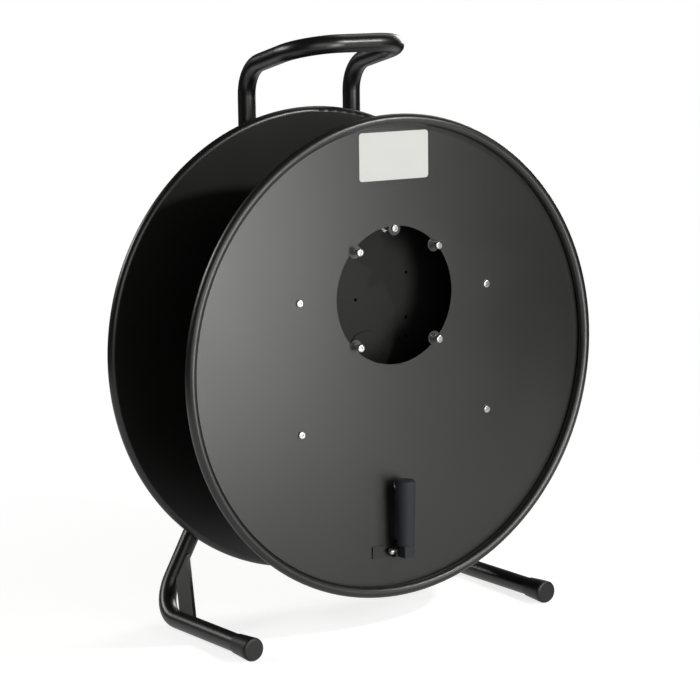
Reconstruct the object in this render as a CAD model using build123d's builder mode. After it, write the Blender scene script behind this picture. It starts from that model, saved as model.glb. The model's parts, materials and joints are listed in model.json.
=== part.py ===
# Steel cable drum: two sheet discs on a core, turning on an axle held by a bent tube stand.
# Millimetres, +Z up, the drum's open side faces -Y, the floor is z = 0.
import os

from build123d import *

# Drum
flange_dia = 580.0
floor_clearance = 42.4
sheet = 1.5
bead_dia = 13.0
curl_angle = 305.0
winding_width = 172.0
core_dia = 328.0

# Tie rods inside the core
tie_dia = 12.0
tie_end_dia = 8.0
tie_end_length = 18.5
tie_gap = 1.5
tie_count = 6

# Opening in the front flange, with round lugs on its edge
opening_dia = 165.5
lug_dia = 17.0
lug_inset = 2.8

# Bearing plate inside the core, and the hub
bearing_depth = 65.0
hub_dia = 49.0
hub_wall = 2.5
bush_length = 16.0
cover_thickness = 1.0
pilot_dia = 4.0
pilot_places = [(-13.0, 63.2), (61.4, 90.6), (60.8, 35.7), (60.5, 12.2)]

# Axle
axle_dia = 20.0
axle_collar_dia = 32.0
axle_inset = 5.5
ring_dia = 30.0
ring_thickness = 1.5

# M5 pan head screws
screw_dia = 5.0
screw_head_dia = 9.6
screw_head_height = 2.6
screw_head_round = 1.6
screw_length = 12.0
screw_socket = 3.0
screw_socket_depth = 1.4

# Spacers on the four corner lugs
spacer_dia = 7.0
spacer_length = 10.0
spacer_screw_length = 16.0

# Label
label_width = 98.0
label_height = 56.6
label_corner = 4.0
label_thickness = 0.3
label_margin = 21.0

# Crank, folded up against the front flange
crank_margin = 56.5
pivot_stand_off = 7.8
pivot_dia = 6.0
pivot_head_dia = 8.2
pivot_head_height = 6.0
pivot_head_round = 3.6
pivot_tail_height = 1.5
bracket_height = 14.3
bracket_reach = 36.0
ear_thickness = 3.0
hook_depth = 4.0
block_width = 14.7
block_rise = 8.4
block_wall = 5.0
block_round = 1.0
grip_stand_off = 17.8
grip_length = 79.4
grip_top_dia = 25.0
grip_bottom_dia = 21.2
grip_round = 4.0
spindle_dia = 8.0
spindle_head_dia = 12.0
spindle_head_height = 5.0
spindle_inset = 16.0

# Tube stand
tube_dia = 22.0
tube_wall = 1.8
stand_gap = 6.5
upright_spread = 153.4
knee_drop = 62.0
knee_radius = 60.0
foot_spread = 437.0
foot_toe = 3.7
foot_reach = 13.5
foot_radius = 45.0
handle_gap = 49.0
handle_radius = 42.0
bar_radius = 50.0
bar_forward = 15.6
bar_lift = 31.2

# Gussets and foot caps
gusset_margin = 35.0
gusset_set_back = 2.5
gusset_thickness = 5.0
cap_length = 34.0
cap_end_wall = 4.0
cap_wall = 1.2
cap_flare = 2.2
cap_flat = 0.5
cap_round = 3.5

# Axle plate between the uprights
axle_plate_overlap = 6.3
axle_plate_height = 120.0
axle_plate_corner = 10.0
axle_plate_thickness = 3.0

# Fits
running_play = 0.05
side_play = 0.3
screw_play = 0.25
slit_play = 0.25
ear_play = 1.15

# Derived sizes and places
bead_radius = bead_dia / 2
tube_radius = tube_dia / 2
cap_open_radius = tube_radius + cap_wall
cap_end_radius = cap_open_radius + cap_flare
barrel_inner = core_dia / 2 - sheet
tie_radius = barrel_inner - tie_gap - tie_dia / 2
lug_radius = opening_dia / 2 - lug_inset
opening_rise = tie_radius - lug_radius
label_rise = flange_dia / 2 - label_margin - label_height / 2
pivot_drop = flange_dia / 2 - crank_margin
plate_out = winding_width / 2 + sheet
tube_plane = winding_width / 2 + bead_dia + stand_gap + tube_radius
foot_front = plate_out + foot_reach
foot_rise = cap_end_radius - cap_flat
foot_run = foot_front + tube_plane
foot_fall = (foot_rise - tube_radius) * foot_run / (foot_run - foot_radius)
gusset_reach = foot_radius + gusset_margin
gusset_start = foot_radius + gusset_set_back
cap_cover = cap_length - cap_end_wall
ear_gap = block_width + 2 * ear_play
ear_out = ear_gap / 2 + ear_thickness

axle_height = flange_dia / 2 + floor_clearance
reach_front = plate_out + grip_stand_off + grip_top_dia / 2
reach_back = tube_plane + tube_radius
drum_y = (reach_front - reach_back) / 2
face_y = drum_y - plate_out
back_y = drum_y + plate_out
bearing_y = face_y + bearing_depth
axle_front = bearing_y + axle_inset
pivot_z = axle_height - pivot_drop
pivot_y = face_y - pivot_stand_off
grip_y = face_y - grip_stand_off
tube_y = drum_y + tube_plane
axle_plate_y = tube_y - tube_radius
handle_corner_z = axle_height + flange_dia / 2 + handle_gap

drum_axis = Axis((0, drum_y, axle_height), (0, 1, 0))
front_section = Plane(origin=(0, drum_y, axle_height), x_dir=(1, 0, 0), z_dir=(0, 0, -1))
back_section = Plane(origin=(0, drum_y, axle_height), x_dir=(1, 0, 0), z_dir=(0, 0, 1))
front_face = Plane(origin=(0, face_y, axle_height), x_dir=(1, 0, 0), z_dir=(0, -1, 0))
back_face = Plane(origin=(0, back_y, axle_height), x_dir=(-1, 0, 0), z_dir=(0, 1, 0))
spacer_face = front_face.offset(spacer_length)
core_face = front_face.offset(-sheet)
bearing_face = front_face.offset(-bearing_depth)

lug_half = lug_radius / 2**0.5
corner_lugs = [
    (-lug_half, opening_rise - lug_half),
    (lug_half, opening_rise - lug_half),
    (-lug_half, opening_rise + lug_half),
    (lug_half, opening_rise + lug_half),
]
top_lug = (0, tie_radius)

os.makedirs("parts", exist_ok=True)

# Section of a flange: flat sheet whose edge is curled outwards into a bead
bead_out = flange_dia / 2 - bead_radius
bead_mid = winding_width / 2 + bead_radius
with BuildSketch() as flange_section:
    with BuildLine():
        outer_curl = CenterArc((bead_out, bead_mid), bead_radius, -90, curl_angle)
        inner_curl = CenterArc((bead_out, bead_mid), bead_radius - sheet, -90, curl_angle)
        Line(outer_curl @ 1, inner_curl @ 1)
        Polyline(inner_curl @ 0, (0, plate_out), (0, winding_width / 2), outer_curl @ 0)
    make_face()

# Front flange with its opening, screw holes and the slit for the crank bracket
with BuildPart() as front_flange:
    with BuildSketch(front_section):
        add(flange_section.sketch)
    revolve(axis=drum_axis)
    with BuildSketch(front_face):
        with Locations((0, opening_rise)):
            Circle(opening_dia / 2)
        with Locations(*corner_lugs, top_lug):
            Circle(lug_dia / 2, mode=Mode.SUBTRACT)
    extrude(amount=-sheet, mode=Mode.SUBTRACT)
    with BuildSketch(front_face):
        with Locations(*corner_lugs):
            Circle(screw_dia / 2 + screw_play)
        with PolarLocations(tie_radius, tie_count, start_angle=90):
            Circle(screw_dia / 2 + screw_play)
        with Locations((-bracket_reach, -pivot_drop)):
            Rectangle(sheet + 2 * slit_play, bracket_height + 2 * slit_play)
    extrude(amount=-sheet, mode=Mode.SUBTRACT)
front_flange.part.label = "front_flange"
export_step(front_flange.part, "parts/front_flange.step")

# Back flange with its screw holes and the seat of the hub tube
with BuildPart() as back_flange:
    with BuildSketch(back_section):
        add(flange_section.sketch)
    revolve(axis=drum_axis)
    with BuildSketch(back_face):
        Circle(hub_dia / 2)
        with PolarLocations(tie_radius, tie_count, start_angle=90):
            Circle(screw_dia / 2 + screw_play)
    extrude(amount=-sheet, mode=Mode.SUBTRACT)
back_flange.part.label = "back_flange"
export_step(back_flange.part, "parts/back_flange.step")

# Core barrel, the rolled sheet that the cable is wound on
with BuildPart() as core_barrel:
    with BuildSketch(core_face):
        Circle(core_dia / 2)
        Circle(barrel_inner, mode=Mode.SUBTRACT)
    extrude(amount=-winding_width)
core_barrel.part.label = "core_barrel"
export_step(core_barrel.part, "parts/core_barrel.step")

# Tie rods between the flanges, turned down and tapped at both ends for the flange screws
with BuildPart() as tie_rods:
    with BuildSketch(core_face):
        with PolarLocations(tie_radius, tie_count, start_angle=90):
            Circle(tie_end_dia / 2)
    extrude(amount=-winding_width)
    with BuildSketch(core_face.offset(-tie_end_length)):
        with PolarLocations(tie_radius, tie_count, start_angle=90):
            Circle(tie_dia / 2)
    extrude(amount=2 * tie_end_length - winding_width)
    with BuildSketch(core_face):
        with PolarLocations(tie_radius, tie_count, start_angle=90):
            Circle(screw_dia / 2)
    extrude(amount=-screw_length, mode=Mode.SUBTRACT)
    with BuildSketch(core_face.offset(-winding_width)):
        with PolarLocations(tie_radius, tie_count, start_angle=90):
            Circle(screw_dia / 2)
    extrude(amount=screw_length, mode=Mode.SUBTRACT)
tie_rods.part.label = "tie_rods"
export_step(tie_rods.part, "parts/tie_rods.step")

# Bearing plate across the core, carried by the tie rods
with BuildPart() as bearing_plate:
    with BuildSketch(bearing_face):
        Circle(barrel_inner)
        Circle(hub_dia / 2, mode=Mode.SUBTRACT)
        with PolarLocations(tie_radius, tie_count, start_angle=90):
            Circle(tie_dia / 2, mode=Mode.SUBTRACT)
        with Locations(*pilot_places):
            Circle(pilot_dia / 2, mode=Mode.SUBTRACT)
    extrude(amount=-sheet)
bearing_plate.part.label = "bearing_plate"
export_step(bearing_plate.part, "parts/bearing_plate.step")

# Hub tube from the bearing plate to the back flange
hub_length = 2 * plate_out - bearing_depth
with BuildPart() as hub_tube:
    with BuildSketch(bearing_face):
        Circle(hub_dia / 2)
        Circle(hub_dia / 2 - hub_wall, mode=Mode.SUBTRACT)
    extrude(amount=-hub_length)
hub_tube.part.label = "hub_tube"
export_step(hub_tube.part, "parts/hub_tube.step")

# Cover on the front end of the hub tube
with BuildPart() as hub_cover:
    with BuildSketch(bearing_face):
        Circle(hub_dia / 2)
    extrude(amount=cover_thickness)
    chamfer(hub_cover.edges().group_by(Axis.Y)[0], cover_thickness / 2)
hub_cover.part.label = "hub_cover"
export_step(hub_cover.part, "parts/hub_cover.step")

# Two bushes in the hub tube that run on the axle
bush_front = axle_front + ring_thickness + 2 * side_play
bush_back = back_y - bush_length
with BuildPart() as hub_bushes:
    with BuildSketch(Plane.XZ.offset(-bush_front), Plane.XZ.offset(-bush_back)):
        with Locations((0, axle_height)):
            Circle(hub_dia / 2 - hub_wall)
            Circle(axle_dia / 2 + running_play, mode=Mode.SUBTRACT)
    extrude(amount=-bush_length)
hub_bushes.part.label = "hub_bushes"
export_step(hub_bushes.part, "parts/hub_bushes.step")

# Label on the front flange
with BuildPart() as label:
    with BuildSketch(front_face):
        with Locations((0, label_rise)):
            RectangleRounded(label_width, label_height, label_corner)
    extrude(amount=label_thickness)
label.part.label = "label"
export_step(label.part, "parts/label.step")

# One pan head screw, head up along +Z with the underside of the head at z = 0
with BuildPart() as screw_head:
    Cylinder(screw_head_dia / 2, screw_head_height, align=(Align.CENTER, Align.CENTER, Align.MIN))
    fillet(screw_head.edges().group_by(Axis.Z)[-1], screw_head_round)
    with BuildSketch(Plane.XY.offset(screw_head_height)):
        RegularPolygon(screw_socket / 2, 6, major_radius=False)
    extrude(amount=-screw_socket_depth, mode=Mode.SUBTRACT)

# Front flange screws
with BuildPart() as front_screws:
    with Locations(front_face):
        with PolarLocations(tie_radius, tie_count, start_angle=90):
            add(screw_head.part)
            Cylinder(screw_dia / 2, screw_length, align=(Align.CENTER, Align.CENTER, Align.MAX))
front_screws.part.label = "front_screws"
export_step(front_screws.part, "parts/front_screws.step")

# Back flange screws
with BuildPart() as back_screws:
    with Locations(back_face):
        with PolarLocations(tie_radius, tie_count, start_angle=90):
            add(screw_head.part)
            Cylinder(screw_dia / 2, screw_length, align=(Align.CENTER, Align.CENTER, Align.MAX))
back_screws.part.label = "back_screws"
export_step(back_screws.part, "parts/back_screws.step")

# Spacers on the corner lugs
with BuildPart() as panel_spacers:
    with BuildSketch(front_face):
        with Locations(*corner_lugs):
            Circle(spacer_dia / 2)
            Circle(screw_dia / 2 + screw_play, mode=Mode.SUBTRACT)
    extrude(amount=spacer_length)
panel_spacers.part.label = "panel_spacers"
export_step(panel_spacers.part, "parts/panel_spacers.step")

# Screws that hold the spacers
with BuildPart() as panel_screws:
    with Locations(spacer_face):
        with Locations(*corner_lugs):
            add(screw_head.part)
            Cylinder(screw_dia / 2, spacer_screw_length, align=(Align.CENTER, Align.CENTER, Align.MAX))
panel_screws.part.label = "panel_screws"
export_step(panel_screws.part, "parts/panel_screws.step")

# Crank bracket: a strip hooked into the slit, with two ears bent up from it
with BuildPart() as crank_bracket:
    with BuildSketch(front_face):
        with Locations((-bracket_reach - sheet / 2, -pivot_drop)):
            Rectangle(bracket_reach + sheet / 2 + ear_out, bracket_height, align=(Align.MIN, Align.CENTER))
    extrude(amount=sheet)
    with BuildSketch(front_face):
        with Locations((-bracket_reach, -pivot_drop)):
            Rectangle(sheet, bracket_height)
    extrude(amount=-hook_depth)
    with BuildSketch(Plane.YZ.offset(-ear_out), Plane.YZ.offset(ear_gap / 2)):
        with Locations((pivot_y, pivot_z)):
            Circle(bracket_height / 2)
            Rectangle(pivot_stand_off, bracket_height, align=(Align.MIN, Align.CENTER))
            Circle(pivot_dia / 2, mode=Mode.SUBTRACT)
    extrude(amount=ear_thickness)
crank_bracket.part.label = "crank_bracket"
export_step(crank_bracket.part, "parts/crank_bracket.step")

# Pivot rivet through the ears, high domed head on the left and a flat head on the right
with BuildPart() as crank_rivet:
    with BuildSketch(Plane.YZ.offset(-ear_out)):
        with Locations((pivot_y, pivot_z)):
            Circle(pivot_head_dia / 2)
    extrude(amount=-pivot_head_height)
    fillet(crank_rivet.edges().group_by(Axis.X)[0], pivot_head_round)
    with BuildSketch(Plane.YZ.offset(-ear_out)):
        with Locations((pivot_y, pivot_z)):
            Circle(pivot_dia / 2)
    extrude(amount=2 * ear_out)
    with BuildSketch(Plane.YZ.offset(ear_out)):
        with Locations((pivot_y, pivot_z)):
            Circle(pivot_head_dia / 2)
    extrude(amount=pivot_tail_height)
crank_rivet.part.label = "crank_rivet"
export_step(crank_rivet.part, "parts/crank_rivet.step")

# Hinge block of the crank, rounded about the pivot so that it swings clear of the bracket
block_foot = pivot_stand_off - sheet - side_play
block_back = pivot_y + block_foot
block_front = grip_y - spindle_dia / 2 - block_wall
block_bottom = pivot_z - block_foot
block_top = pivot_z + block_rise
with BuildPart() as hinge_block:
    with BuildSketch(Plane.YZ.offset(-block_width / 2)):
        with BuildLine():
            Polyline(
                (pivot_y, block_bottom),
                (block_front, block_bottom),
                (block_front, block_top),
                (block_back, block_top),
                (block_back, pivot_z),
            )
            RadiusArc((block_back, pivot_z), (pivot_y, block_bottom), block_foot)
        make_face()
    extrude(amount=block_width)
    fillet(hinge_block.edges().filter_by(Axis.Z).group_by(Axis.Y)[0], block_round)
    with Locations(Plane(origin=(0, pivot_y, pivot_z), z_dir=(1, 0, 0))):
        Cylinder(pivot_dia / 2 + running_play, block_width, mode=Mode.SUBTRACT)
    with Locations((0, grip_y, (block_bottom + block_top) / 2)):
        Cylinder(spindle_dia / 2, block_width, mode=Mode.SUBTRACT)
hinge_block.part.label = "hinge_block"
export_step(hinge_block.part, "parts/hinge_block.step")

# Spindle that the grip turns on, fixed in the hinge block
grip_low = block_top + side_play
grip_high = grip_low + grip_length
spindle_end = grip_high - spindle_inset
with BuildPart() as crank_spindle:
    with Locations((0, grip_y, block_bottom)):
        Cylinder(spindle_dia / 2, spindle_end - block_bottom, align=(Align.CENTER, Align.CENTER, Align.MIN))
    with Locations((0, grip_y, spindle_end)):
        Cylinder(spindle_head_dia / 2, spindle_head_height, align=(Align.CENTER, Align.CENTER, Align.MAX))
crank_spindle.part.label = "crank_spindle"
export_step(crank_spindle.part, "parts/crank_spindle.step")

# Grip, tapered and rounded at its top, running on the spindle
with BuildPart() as crank_grip:
    with Locations((0, grip_y, grip_low)):
        Cone(
            grip_bottom_dia / 2,
            grip_top_dia / 2,
            grip_high - grip_low,
            align=(Align.CENTER, Align.CENTER, Align.MIN),
        )
    fillet(crank_grip.edges().group_by(Axis.Z)[-1], grip_round)
    with Locations((0, grip_y, grip_low)):
        Cylinder(
            spindle_dia / 2 + running_play,
            spindle_end - grip_low,
            align=(Align.CENTER, Align.CENTER, Align.MIN),
            mode=Mode.SUBTRACT,
        )
    with Locations((0, grip_y, spindle_end + side_play)):
        Cylinder(
            spindle_head_dia / 2 + side_play,
            spindle_head_height + 2 * side_play,
            align=(Align.CENTER, Align.CENTER, Align.MAX),
            mode=Mode.SUBTRACT,
        )
crank_grip.part.label = "crank_grip"
export_step(crank_grip.part, "parts/crank_grip.step")

# Bent tube of the stand: foot, leg, upright, handle, upright, leg, foot
foot_tip = (foot_spread / 2 - foot_toe, drum_y - foot_front, foot_rise)
foot_corner = (foot_spread / 2, tube_y, foot_rise - foot_fall)
knee = (upright_spread / 2, tube_y, axle_height - knee_drop)
handle_corner = (upright_spread / 2, tube_y, handle_corner_z)
bar_end = (upright_spread / 2, drum_y - bar_forward, handle_corner_z + bar_lift)
right_side = [foot_tip, foot_corner, knee, handle_corner, bar_end]
left_side = [(-x, y, z) for x, y, z in reversed(right_side)]
bends = [foot_radius, knee_radius, handle_radius, bar_radius]
with BuildPart() as tube_frame:
    with BuildLine() as tube_path:
        FilletPolyline(*right_side, *left_side, radius=[*bends, *reversed(bends)])
    with BuildSketch(Plane(origin=tube_path.line @ 0, z_dir=tube_path.line % 0)):
        Circle(tube_radius)
        Circle(tube_radius - tube_wall, mode=Mode.SUBTRACT)
    sweep(path=tube_path.line)
tube_frame.part.label = "tube_frame"
export_step(tube_frame.part, "parts/tube_frame.step")

# Gussets in the corners between legs and feet
right_corner = Vector(*foot_corner)
foot_way = (Vector(*foot_tip) - right_corner).normalized()
leg_way = (Vector(*knee) - right_corner).normalized()
gusset_plane = Plane(origin=right_corner, x_dir=foot_way, z_dir=foot_way.cross(leg_way))
tube_mid = tube_radius - tube_wall / 2
gusset_reaches = [
    (gusset_start, tube_mid),
    (gusset_reach, tube_mid),
    (gusset_reach, tube_radius),
    (tube_radius, gusset_reach),
    (tube_mid, gusset_reach),
    (tube_mid, gusset_start),
]
gusset_corners = [
    gusset_plane.to_local_coords(right_corner + foot_way * along + leg_way * up)
    for along, up in gusset_reaches
]
with BuildPart() as gusset_right:
    with BuildSketch(gusset_plane):
        with BuildLine():
            Polyline(*gusset_corners, close=True)
        make_face()
    extrude(amount=gusset_thickness / 2, both=True)
    add(tube_frame.part, mode=Mode.SUBTRACT)
gusset_right.part.label = "gusset_right"
export_step(gusset_right.part, "parts/gusset_right.step")

with BuildPart() as gusset_left:
    mirror(gusset_right.part, about=Plane.YZ)
gusset_left.part.label = "gusset_left"
export_step(gusset_left.part, "parts/gusset_left.step")

# Flared caps on the ends of the feet, flat where they meet the floor
cap_plane = Plane(origin=Vector(*foot_tip) - foot_way * cap_cover, z_dir=foot_way)
with BuildPart() as foot_cap_right:
    with Locations(cap_plane):
        Cone(cap_open_radius, cap_end_radius, cap_length, align=(Align.CENTER, Align.CENTER, Align.MIN))
    fillet(foot_cap_right.edges().group_by(Axis.Y)[0], cap_round)
    with Locations(cap_plane):
        Cylinder(tube_radius, cap_cover, align=(Align.CENTER, Align.CENTER, Align.MIN), mode=Mode.SUBTRACT)
    split(bisect_by=Plane.XY, keep=Keep.TOP)
foot_cap_right.part.label = "foot_cap_right"
export_step(foot_cap_right.part, "parts/foot_cap_right.step")

with BuildPart() as foot_cap_left:
    mirror(foot_cap_right.part, about=Plane.YZ)
foot_cap_left.part.label = "foot_cap_left"
export_step(foot_cap_left.part, "parts/foot_cap_left.step")

# Axle plate welded across the uprights
axle_plate_width = upright_spread + 2 * axle_plate_overlap
with BuildPart() as axle_plate:
    with BuildSketch(Plane.XZ.offset(-axle_plate_y)):
        with Locations((0, axle_height)):
            RectangleRounded(axle_plate_width, axle_plate_height, axle_plate_corner)
            Circle(axle_dia / 2, mode=Mode.SUBTRACT)
    extrude(amount=axle_plate_thickness)
axle_plate.part.label = "axle_plate"
export_step(axle_plate.part, "parts/axle_plate.step")

# Axle with a collar that keeps the drum off the plate
collar_front = back_y + side_play
axle_length = axle_plate_y - axle_front
with BuildPart() as axle:
    with BuildSketch(Plane.XZ.offset(-axle_plate_y)):
        with Locations((0, axle_height)):
            Circle(axle_dia / 2)
    extrude(amount=axle_length)
    with BuildSketch(Plane.XZ.offset(-collar_front)):
        with Locations((0, axle_height)):
            Circle(axle_collar_dia / 2)
    extrude(amount=collar_front - axle_plate_y + axle_plate_thickness)
axle.part.label = "axle"
export_step(axle.part, "parts/axle.step")

# Retaining ring near the front end of the axle
with BuildPart() as axle_ring:
    with BuildSketch(Plane.XZ.offset(side_play + ring_thickness - bush_front)):
        with Locations((0, axle_height)):
            Circle(ring_dia / 2)
            Circle(axle_dia / 2, mode=Mode.SUBTRACT)
    extrude(amount=-ring_thickness)
axle_ring.part.label = "axle_ring"
export_step(axle_ring.part, "parts/axle_ring.step")
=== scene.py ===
import json
from math import radians, tau

import bpy
from mathutils import Matrix, Vector


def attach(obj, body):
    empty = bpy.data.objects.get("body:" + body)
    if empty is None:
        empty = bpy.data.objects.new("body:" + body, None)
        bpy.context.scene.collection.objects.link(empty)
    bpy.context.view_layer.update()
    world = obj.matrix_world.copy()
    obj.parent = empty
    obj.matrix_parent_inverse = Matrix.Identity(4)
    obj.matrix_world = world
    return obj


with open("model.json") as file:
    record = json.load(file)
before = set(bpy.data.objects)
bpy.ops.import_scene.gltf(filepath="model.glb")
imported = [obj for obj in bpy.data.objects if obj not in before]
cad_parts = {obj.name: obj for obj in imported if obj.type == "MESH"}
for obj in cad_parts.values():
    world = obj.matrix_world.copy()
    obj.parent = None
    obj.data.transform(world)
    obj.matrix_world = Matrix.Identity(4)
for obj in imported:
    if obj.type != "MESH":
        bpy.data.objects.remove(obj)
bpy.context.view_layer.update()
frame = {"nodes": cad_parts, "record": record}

MM = 0.001

# Places and sizes on the stand, in mm, in the frame of the part
foot_corner = Vector((218.5, 111.65, 10.24))
foot_tip = Vector((214.8, -105.85, 13.9))
knee = Vector((76.7, 111.65, 270.4))
tube_radius = 11.0
gusset_half = 2.5
gusset_from = 49.0
gusset_to = 79.0
axle_centre = Vector((0.0, 100.65, 332.4))
axle_radius = 10.0
plate_side = 82.6
plate_half_height = 60.0

# Welds, in mm, with the rise as a share of the width and the lean as a slope to the back
gusset_weld_width = 4.0
stitch_width = 3.4
stitch_length = 32.0
stitch_inset = 12.0
stitch_stand_off = 0.9
stitch_lean = 0.7
ripple_step = 1.4
ripple_half_length = 1.5
ripple_rise = 0.42
ripple_sink = 0.5
ring_ripple = (1.9, 1.3, 1.5)
ring_ripples = 44
weld_smooth_angle = radians(50)

# Camera, in metres and degrees
camera_place = (-1.6094, -2.42365, 0.81603)
camera_turn = -33.523
camera_tilt = 80.507
camera_roll = -0.70
camera_lens = 124.18
camera_sensor = 36.0

# Floor and light: distances from the middle of the object in metres, strengths where 1 is white
floor_size = 14
near_glow = 0.76
fade_from, fade_to = 0.35, 1.1
shade_from, shade_to = 0.5, 0.8
shade_near, shade_far = 0.6, 0.8
edge_from, edge_to = 1.25, 1.55
studio_dim = 0.03
lamp_tint = (1.0, 1.0, 0.975)
pure_white = (1, 1, 1, 1)


def linear(hex_colour):
    """An sRGB hex colour as linear red, green, blue and alpha."""
    channels = [int(hex_colour[i:i + 2], 16) / 255 for i in (1, 3, 5)]
    return [c / 12.92 if c <= 0.04045 else ((c + 0.055) / 1.055) ** 2.4 for c in channels] + [1.0]


def node(owner, kind, links=None, **settings):
    """Adds a node with its settings and the links to its inputs."""
    tree = owner.node_tree
    new = tree.nodes.new(kind)
    for key, value in settings.items():
        if hasattr(new, key):
            setattr(new, key, value)
        else:
            new.inputs[key.replace("_", " ")].default_value = value
    for key, source in (links or {}).items():
        tree.links.new(source, new.inputs[key])
    return new


def finish(name, **shader_settings):
    """An empty finish with its shader, and the object coordinates that its patterns read."""
    material = bpy.data.materials.new(name)
    material.use_nodes = True
    material.node_tree.nodes.clear()
    shader = node(material, "ShaderNodeBsdfPrincipled", **shader_settings)
    node(material, "ShaderNodeOutputMaterial", {"Surface": shader.outputs["BSDF"]})
    place = node(material, "ShaderNodeTexCoord").outputs["Object"]
    return material, shader, place


def dress(material, shader, colour, roughness, relief):
    """Gives a finish its colour, its roughness and its relief."""
    links = material.node_tree.links
    links.new(colour.outputs["Color"], shader.inputs["Base Color"])
    links.new(roughness.outputs["Result"], shader.inputs["Roughness"])
    links.new(relief.outputs["Normal"], shader.inputs["Normal"])


# Satin powder coat on pressed sheet: an even charcoal skin, baked on, with a faint orange peel,
# slightly paler along edges, partly where the paint thins and partly as a painted highlight,
# and slightly duller where it has been handled
sheet_coat, shader, place = finish("powder_coat_on_sheet", IOR=1.66)
peel = node(sheet_coat, "ShaderNodeTexNoise", {"Vector": place}, Scale=1 / (4.5 * MM), Detail=2.0)
# Grit of 0.3 mm, drawn at 1.6 mm so that it shows
grit = node(sheet_coat, "ShaderNodeTexNoise", {"Vector": place}, Scale=1 / (1.6 * MM), Detail=1.0)
handling = node(sheet_coat, "ShaderNodeTexNoise", {"Vector": place}, Scale=1 / (130 * MM), Detail=5.0)
soft_edge = node(sheet_coat, "ShaderNodeBevel", samples=4, Radius=0.5 * MM)
flat = node(sheet_coat, "ShaderNodeNewGeometry")
turned = node(sheet_coat, "ShaderNodeVectorMath", {0: soft_edge.outputs["Normal"], 1: flat.outputs["Normal"]},
              operation="DOT_PRODUCT")
# Paler edges: partly the paint thinning over them, partly a painted highlight along them
thinned_edge_and_painted_highlight = node(sheet_coat, "ShaderNodeMapRange", {"Value": turned.outputs["Value"]},
                 From_Min=0.985, From_Max=0.80, To_Min=0.0, To_Max=0.6)
shade = node(sheet_coat, "ShaderNodeMixRGB", {"Fac": handling.outputs["Fac"]},
             Color1=linear("#121211"), Color2=linear("#161615"))
skin = node(sheet_coat, "ShaderNodeMixRGB",
            {"Fac": thinned_edge_and_painted_highlight.outputs["Result"], "Color1": shade.outputs["Color"]}, Color2=linear("#2b2b2a"))
dulling = node(sheet_coat, "ShaderNodeMapRange", {"Value": handling.outputs["Fac"]},
               From_Min=0.3, From_Max=0.7, To_Min=0.33, To_Max=0.37)
waves = node(sheet_coat, "ShaderNodeBump",
             {"Height": peel.outputs["Fac"], "Normal": soft_edge.outputs["Normal"]},
             Strength=0.5, Distance=0.05 * MM)
relief = node(sheet_coat, "ShaderNodeBump",
              {"Height": grit.outputs["Fac"], "Normal": waves.outputs["Normal"]},
              Strength=0.6, Distance=0.04 * MM)
dress(sheet_coat, shader, skin, dulling, relief)

# Gloss powder coat on drawn tube: deep black, smoother than the sheet, with long soft waves
tube_coat, shader, place = finish("powder_coat_on_tube", IOR=1.6)
peel = node(tube_coat, "ShaderNodeTexNoise", {"Vector": place}, Scale=1 / (6 * MM), Detail=1.0)
handling = node(tube_coat, "ShaderNodeTexNoise", {"Vector": place}, Scale=1 / (60 * MM), Detail=4.0)
soft_edge = node(tube_coat, "ShaderNodeBevel", samples=4, Radius=0.6 * MM)
shade = node(tube_coat, "ShaderNodeMixRGB", {"Fac": handling.outputs["Fac"]},
             Color1=linear("#0e0e0e"), Color2=linear("#141414"))
dulling = node(tube_coat, "ShaderNodeMapRange", {"Value": handling.outputs["Fac"]},
               From_Min=0.3, From_Max=0.7, To_Min=0.31, To_Max=0.35)
waves = node(tube_coat, "ShaderNodeBump",
             {"Height": peel.outputs["Fac"], "Normal": soft_edge.outputs["Normal"]},
             Strength=0.25, Distance=0.05 * MM)
dress(tube_coat, shader, shade, dulling, waves)

# Polyethylene foot caps, injection moulded: a waxy black with a fine eroded grain, paler with scuffs
# at the floor
cap_plastic, shader, place = finish("moulded_polyethylene", IOR=1.51)
# Eroded grain of 0.2 mm, drawn at 1.2 mm so that it shows
grain = node(cap_plastic, "ShaderNodeTexNoise", {"Vector": place}, Scale=1 / (1.2 * MM), Detail=2.0)
scuffs = node(cap_plastic, "ShaderNodeTexNoise", {"Vector": place}, Scale=1 / (7 * MM), Detail=5.0)
height = node(cap_plastic, "ShaderNodeSeparateXYZ", {"Vector": place})
near_floor = node(cap_plastic, "ShaderNodeMapRange", {"Value": height.outputs["Z"]},
                  From_Min=7 * MM, From_Max=0.0, To_Min=0.0, To_Max=0.6)
worn = node(cap_plastic, "ShaderNodeMath", {0: near_floor.outputs["Result"], 1: scuffs.outputs["Fac"]},
            operation="MULTIPLY")
shade = node(cap_plastic, "ShaderNodeMixRGB", {"Fac": worn.outputs["Value"]},
             Color1=linear("#141414"), Color2=linear("#3d3c3b"))
dulling = node(cap_plastic, "ShaderNodeMapRange", {"Value": scuffs.outputs["Fac"]},
               From_Min=0.3, From_Max=0.7, To_Min=0.38, To_Max=0.48)
relief = node(cap_plastic, "ShaderNodeBump", {"Height": grain.outputs["Fac"]},
              Strength=0.3, Distance=0.05 * MM)
dress(cap_plastic, shader, shade, dulling, relief)

# Polyamide of the crank grip and hinge block, injection moulded: blue-black, with an even eroded grain
grip_plastic, shader, place = finish("moulded_polyamide", IOR=1.53, Specular_IOR_Level=0.35)
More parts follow.
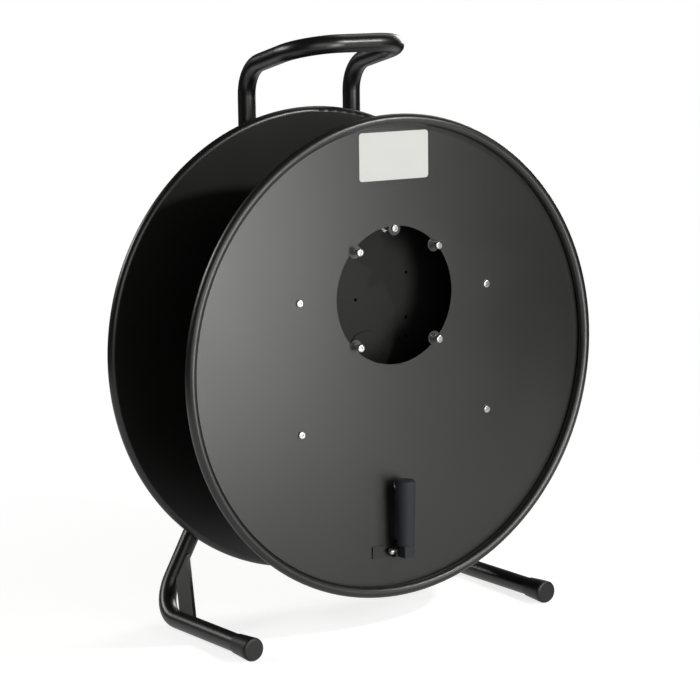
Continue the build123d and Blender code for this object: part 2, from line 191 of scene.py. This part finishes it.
# Eroded grain of 0.2 mm, drawn at 1.2 mm so that it shows
grain = node(grip_plastic, "ShaderNodeTexNoise", {"Vector": place}, Scale=1 / (1.2 * MM), Detail=2.0)
hand_polish = node(grip_plastic, "ShaderNodeTexNoise", {"Vector": place}, Scale=1 / (18 * MM), Detail=4.0)
shade = node(grip_plastic, "ShaderNodeMixRGB", {"Fac": hand_polish.outputs["Fac"]},
             Color1=linear("#25272c"), Color2=linear("#2c2e33"))
dulling = node(grip_plastic, "ShaderNodeMapRange", {"Value": hand_polish.outputs["Fac"]},
               From_Min=0.3, From_Max=0.7, To_Min=0.68, To_Max=0.76)
soft_edge = node(grip_plastic, "ShaderNodeBevel", samples=4, Radius=0.6 * MM)
relief = node(grip_plastic, "ShaderNodeBump",
              {"Height": grain.outputs["Fac"], "Normal": soft_edge.outputs["Normal"]},
              Strength=0.3, Distance=0.05 * MM)
dress(grip_plastic, shader, shade, dulling, relief)

# Bright zinc plating on steel: a pale blue-white metal with a slightly cloudy passivation
zinc, shader, place = finish("bright_zinc_plate", Metallic=1.0)
cloud = node(zinc, "ShaderNodeTexNoise", {"Vector": place}, Scale=1 / (4 * MM), Detail=4.0)
# Plating crystals of 0.05 mm, drawn at 0.6 mm so that they show
crystals = node(zinc, "ShaderNodeTexNoise", {"Vector": place}, Scale=1 / (0.6 * MM), Detail=1.0)
shade = node(zinc, "ShaderNodeMixRGB", {"Fac": cloud.outputs["Fac"]},
             Color1=linear("#d3d5d8"), Color2=linear("#dcdad2"))
dulling = node(zinc, "ShaderNodeMapRange", {"Value": cloud.outputs["Fac"]},
               From_Min=0.3, From_Max=0.7, To_Min=0.24, To_Max=0.36)
relief = node(zinc, "ShaderNodeBump", {"Height": crystals.outputs["Fac"]}, Strength=0.15, Distance=0.02 * MM)
dress(zinc, shader, shade, dulling, relief)

# Polyester label film, calendered: plain white with a satin face, slightly uneven where it was rubbed down
label_film, shader, place = finish("polyester_label_film", IOR=1.57)
rubbing = node(label_film, "ShaderNodeTexNoise", {"Vector": place}, Scale=1 / (25 * MM), Detail=4.0)
shade = node(label_film, "ShaderNodeMixRGB", {"Fac": rubbing.outputs["Fac"]},
             Color1=linear("#c3c3c1"), Color2=linear("#c9c9c7"))
dulling = node(label_film, "ShaderNodeMapRange", {"Value": rubbing.outputs["Fac"]},
               From_Min=0.3, From_Max=0.7, To_Min=0.4, To_Max=0.5)
relief = node(label_film, "ShaderNodeBump", {"Height": rubbing.outputs["Fac"]},
              Strength=0.2, Distance=0.1 * MM)
dress(label_film, shader, shade, dulling, relief)

# Acetal bushes, turned: a smooth off-white with faint tool rings
bush_plastic, shader, place = finish("turned_acetal", IOR=1.48)
# Tool rings of 0.2 mm, drawn 5 mm apart so that they show; the wave texture repeats after tau / 20
rings = node(bush_plastic, "ShaderNodeTexWave", {"Vector": place}, wave_type="BANDS", bands_direction="Y",
             Scale=tau / (20 * 5 * MM), Distortion=0.3)
mottle = node(bush_plastic, "ShaderNodeTexNoise", {"Vector": place}, Scale=1 / (6 * MM), Detail=3.0)
shade = node(bush_plastic, "ShaderNodeMixRGB", {"Fac": mottle.outputs["Fac"]},
             Color1=linear("#d8d5cb"), Color2=linear("#dedcd4"))
dulling = node(bush_plastic, "ShaderNodeMapRange", {"Value": mottle.outputs["Fac"]},
               From_Min=0.3, From_Max=0.7, To_Min=0.35, To_Max=0.45)
relief = node(bush_plastic, "ShaderNodeBump", {"Height": rings.outputs["Fac"]},
              Strength=0.15, Distance=0.04 * MM)
dress(bush_plastic, shader, shade, dulling, relief)

# Dip coat on the bearing plate and hub cover: a thin black primer, drained and dried, dull and darker
# than the flanges
dip_coat, shader, place = finish("dip_coat_on_sheet", IOR=1.5, Specular_IOR_Level=0.28)
cloud = node(dip_coat, "ShaderNodeTexNoise", {"Vector": place}, Scale=1 / (40 * MM), Detail=4.0)
# Grain of 0.3 mm, drawn at 1.6 mm so that it shows
grain = node(dip_coat, "ShaderNodeTexNoise", {"Vector": place}, Scale=1 / (1.6 * MM), Detail=1.0)
shade = node(dip_coat, "ShaderNodeMixRGB", {"Fac": cloud.outputs["Fac"]},
             Color1=linear("#0d0d0d"), Color2=linear("#111110"))
dulling = node(dip_coat, "ShaderNodeMapRange", {"Value": cloud.outputs["Fac"]},
               From_Min=0.3, From_Max=0.7, To_Min=0.48, To_Max=0.54)
relief = node(dip_coat, "ShaderNodeBump", {"Height": grain.outputs["Fac"]}, Strength=0.25, Distance=0.04 * MM)
dress(dip_coat, shader, shade, dulling, relief)

finishes = {
    "painted_sheet": sheet_coat,
    "painted_tube": tube_coat,
    "cap_plastic": cap_plastic,
    "bush_plastic": bush_plastic,
    "grip_plastic": grip_plastic,
    "zinc_steel": zinc,
    "label_film": label_film,
}
for part in frame["record"]["subparts"]:
    mesh = frame["nodes"][part["node"]].data
    mesh.materials.clear()
    mesh.materials.append(finishes[part["material_slot"]])
for name in ("bearing_plate", "hub_cover"):
    frame["nodes"][name].data.materials[0] = dip_coat


def weld_run(start, end, facing, width):
    """A straight run of weld: frozen ripples, each lapped over the last, from start to end in mm."""
    bpy.ops.object.select_all(action="DESELECT")
    bpy.ops.mesh.primitive_uv_sphere_add(segments=14, ring_count=8, radius=1.0)
    run = bpy.context.object
    bpy.ops.object.mode_set(mode="EDIT")
    bpy.ops.mesh.select_all(action="SELECT")
    bpy.ops.transform.resize(value=(ripple_half_length * MM, width / 2 * MM, width * ripple_rise * MM))
    bpy.ops.mesh.select_all(action="SELECT")
    bpy.ops.mesh.bisect(plane_co=(0, 0, -ripple_sink * MM), plane_no=(0, 0, 1),
                        clear_inner=True, use_fill=True)
    bpy.ops.object.mode_set(mode="OBJECT")
    bpy.ops.object.shade_smooth_by_angle(angle=weld_smooth_angle)
    row = run.modifiers.new("ripples", "ARRAY")
    row.use_relative_offset = False
    row.use_constant_offset = True
    row.constant_offset_displace = (ripple_step * MM, 0, 0)
    row.count = int((end - start).length / ripple_step)
    bpy.ops.object.modifier_apply(modifier=row.name)
    along = (end - start).normalized()
    across = facing.cross(along).normalized()
    turn = Matrix((along, across, along.cross(across))).transposed().to_4x4()
    run.matrix_world = Matrix.Translation(start * MM) @ turn
    bpy.ops.object.transform_apply(location=True, rotation=True, scale=True)
    return run


def weld_piece(name, runs):
    """Runs of weld joined as one piece of the stand, under the same coat as the tube."""
    bpy.ops.object.select_all(action="DESELECT")
    for run in runs:
        run.select_set(True)
    bpy.context.view_layer.objects.active = runs[0]
    if len(runs) > 1:
        bpy.ops.object.join()
    piece = bpy.context.view_layer.objects.active
    piece.name = name
    piece.data.materials.clear()
    piece.data.materials.append(tube_coat)
    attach(piece, "frame")


# Welds on the inner faces of the gussets, along the foot and along the leg
foot_way = (foot_tip - foot_corner).normalized()
leg_way = (knee - foot_corner).normalized()
inward = foot_way.cross(leg_way).normalized()
rise = (tube_radius ** 2 - gusset_half ** 2) ** 0.5
for name, side in (("gusset_welds_right", 1), ("gusset_welds_left", -1)):
    flip = Matrix.Diagonal((side, 1, 1))
    runs = []
    for along, up in ((foot_way, leg_way), (leg_way, foot_way)):
        corner = foot_corner + up * rise + inward * gusset_half
        start = flip @ (corner + along * gusset_from)
        end = flip @ (corner + along * gusset_to)
        runs.append(weld_run(start, end, flip @ (up + inward).normalized(), gusset_weld_width))
    weld_piece(name, runs)

# Stitch welds between the axle plate and the uprights, at the plate's corners
runs = []
for side in (1, -1):
    for end_sign in (1, -1):
        near = plate_half_height - stitch_inset
        start = axle_centre + Vector((side * plate_side, stitch_stand_off, end_sign * near))
        end = start - Vector((0, 0, end_sign * stitch_length))
        runs.append(weld_run(start, end, Vector((side, stitch_lean, 0)).normalized(), stitch_width))
weld_piece("axle_plate_welds", runs)

# Ring of weld round the axle, on the back of the axle plate
bpy.ops.object.select_all(action="DESELECT")
bpy.ops.mesh.primitive_uv_sphere_add(segments=14, ring_count=8, radius=1.0)
ring = bpy.context.object
bpy.ops.object.mode_set(mode="EDIT")
bpy.ops.mesh.select_all(action="SELECT")
bpy.ops.transform.resize(value=Vector(ring_ripple) * MM)
bpy.ops.transform.translate(value=(axle_centre + Vector((axle_radius, 0, 0))) * MM)
bpy.ops.mesh.select_all(action="SELECT")
bpy.ops.mesh.bisect(plane_co=axle_centre * MM, plane_no=(0, 1, 0), clear_inner=True, use_fill=True)
bpy.ops.mesh.select_all(action="SELECT")
copies = ring_ripples - 1
bpy.ops.mesh.spin(steps=copies, dupli=True, angle=radians(360 * copies / ring_ripples),
                  center=axle_centre * MM, axis=(0, 1, 0), use_auto_merge=False)
bpy.ops.mesh.select_all(action="SELECT")
bpy.ops.mesh.remove_doubles(threshold=0.001 * MM)
bpy.ops.mesh.normals_make_consistent(inside=False)
bpy.ops.object.mode_set(mode="OBJECT")
bpy.ops.object.shade_smooth_by_angle(angle=weld_smooth_angle)
bpy.ops.object.transform_apply(location=True, rotation=True, scale=True)
weld_piece("axle_weld", [ring])

# Camera at the viewing angle of the photograph
camera = bpy.data.cameras.new("camera")
camera.sensor_width = camera_sensor
camera.lens = camera_lens
eye = bpy.data.objects.new("camera", camera)
bpy.context.collection.objects.link(eye)
turn = Matrix.Rotation(radians(camera_turn), 4, "Z") @ Matrix.Rotation(radians(camera_tilt), 4, "X")
turn = turn @ Matrix.Rotation(radians(camera_roll), 4, "Z")
eye.matrix_world = Matrix.Translation(camera_place) @ turn
bpy.context.scene.camera = eye

# White floor: paper that keeps the soft shadow near the object and fades to plain white farther off
bpy.ops.object.select_all(action="DESELECT")
bpy.ops.mesh.primitive_plane_add(size=floor_size)
floor = bpy.context.object
floor.name = "floor"
paper = bpy.data.materials.new("white_paper_floor")
paper.use_nodes = True
paper.node_tree.nodes.clear()
floor.data.materials.append(paper)
matte = node(paper, "ShaderNodeBsdfDiffuse", Color=linear("#bcbcbc"))
ray = node(paper, "ShaderNodeLightPath")
glow = node(paper, "ShaderNodeEmission", Color=pure_white, Strength=near_glow)
lit = node(paper, "ShaderNodeAddShader", {0: matte.outputs["BSDF"], 1: glow.outputs["Emission"]})
white = node(paper, "ShaderNodeEmission", Color=pure_white, Strength=1.0)
spot = node(paper, "ShaderNodeTexCoord")
reach = node(paper, "ShaderNodeVectorMath", {0: spot.outputs["Object"]}, operation="LENGTH")
far = node(paper, "ShaderNodeMapRange", {"Value": reach.outputs["Value"]}, interpolation_type="SMOOTHSTEP",
           From_Min=fade_from, From_Max=fade_to)
seen = node(paper, "ShaderNodeMixShader",
            {"Fac": far.outputs["Result"], 1: lit.outputs["Shader"], 2: white.outputs["Emission"]})
# In gloss the sheet of paper shows white, with a painted shade round the object, as far as its edge
painted_shade_in_gloss = node(paper, "ShaderNodeMapRange", {"Value": reach.outputs["Value"]},
              From_Min=shade_from, From_Max=shade_to, To_Min=shade_near, To_Max=shade_far)
edge = node(paper, "ShaderNodeMapRange", {"Value": reach.outputs["Value"]},
            From_Min=edge_from, From_Max=edge_to, To_Min=1.0, To_Max=0.0)
strength = node(paper, "ShaderNodeMath", {0: painted_shade_in_gloss.outputs["Result"], 1: edge.outputs["Result"]},
                operation="MULTIPLY")
mirrored = node(paper, "ShaderNodeEmission", {"Strength": strength.outputs["Value"]}, Color=pure_white)
shown = node(paper, "ShaderNodeMath",
             {0: ray.outputs["Is Glossy Ray"], 1: ray.outputs["Is Transmission Ray"]}, operation="MAXIMUM")
cast = node(paper, "ShaderNodeMixShader",
            {"Fac": shown.outputs["Value"], 1: matte.outputs["BSDF"], 2: mirrored.outputs["Emission"]})
whole = node(paper, "ShaderNodeMixShader",
             {"Fac": ray.outputs["Is Camera Ray"], 1: cast.outputs["Shader"], 2: seen.outputs["Shader"]})
node(paper, "ShaderNodeOutputMaterial", {"Surface": whole.outputs["Shader"]})

# Studio round the object: white to the camera, dim elsewhere
world = bpy.data.worlds.new("studio")
world.use_nodes = True
world.node_tree.nodes.clear()
bpy.context.scene.world = world
ray = node(world, "ShaderNodeLightPath")
dim = node(world, "ShaderNodeBackground", Color=pure_white, Strength=studio_dim)
white = node(world, "ShaderNodeBackground", Color=pure_white, Strength=1.0)
studio = node(world, "ShaderNodeMixShader", {"Fac": ray.outputs["Is Camera Ray"],
                                             1: dim.outputs["Background"], 2: white.outputs["Background"]})
node(world, "ShaderNodeOutputWorld", {"Surface": studio.outputs["Shader"]})


def panel(name, place, target, size, power):
    """A rectangular soft lamp at a place, facing its target, in metres and watts."""
    lamp = bpy.data.lights.new(name, "AREA")
    lamp.shape = "RECTANGLE"
    lamp.size, lamp.size_y = size
    lamp.energy = power
    lamp.color = lamp_tint
    holder = bpy.data.objects.new(name, lamp)
    bpy.context.collection.objects.link(holder)
    holder.location = place
    holder.rotation_euler = (Vector(target) - Vector(place)).to_track_quat("-Z", "Y").to_euler()


# The front and left panels make the sheen on the flange, the key lamp the glints on the tube and screws,
# and the others soften the shade on the top, back and right side
panel("front_panel", (0.345, -1.45, 0.29), (0.345, 0, 0.29), (0.50, 0.74), 11.6)
panel("left_panel", (-0.45, -1.45, 0.6), (-0.45, 0, 0.6), (1.7, 0.7), 4.8)
panel("fill_panel", (-0.705, -1.51, 1.0), (0, 0, 0.33), (1.0, 0.6), 2.4)
panel("key_lamp", (0.76, -1.23, 1.22), (0, 0, 0.33), (0.07, 0.07), 11)
panel("top_panel", (1.11, 0.64, 2.03), (0, 0, 0.5), (0.8, 0.8), 3)
panel("back_panel", (-2.6, 2.5, 2.15), (-0.15, 0.05, 0.15), (2.4, 0.9), 55)
panel("side_panel", (2.4, 1.3, 1.2), (0.1, 0.05, 0.35), (1.2, 1.2), 30)

bpy.context.scene.view_settings.view_transform = "Standard"
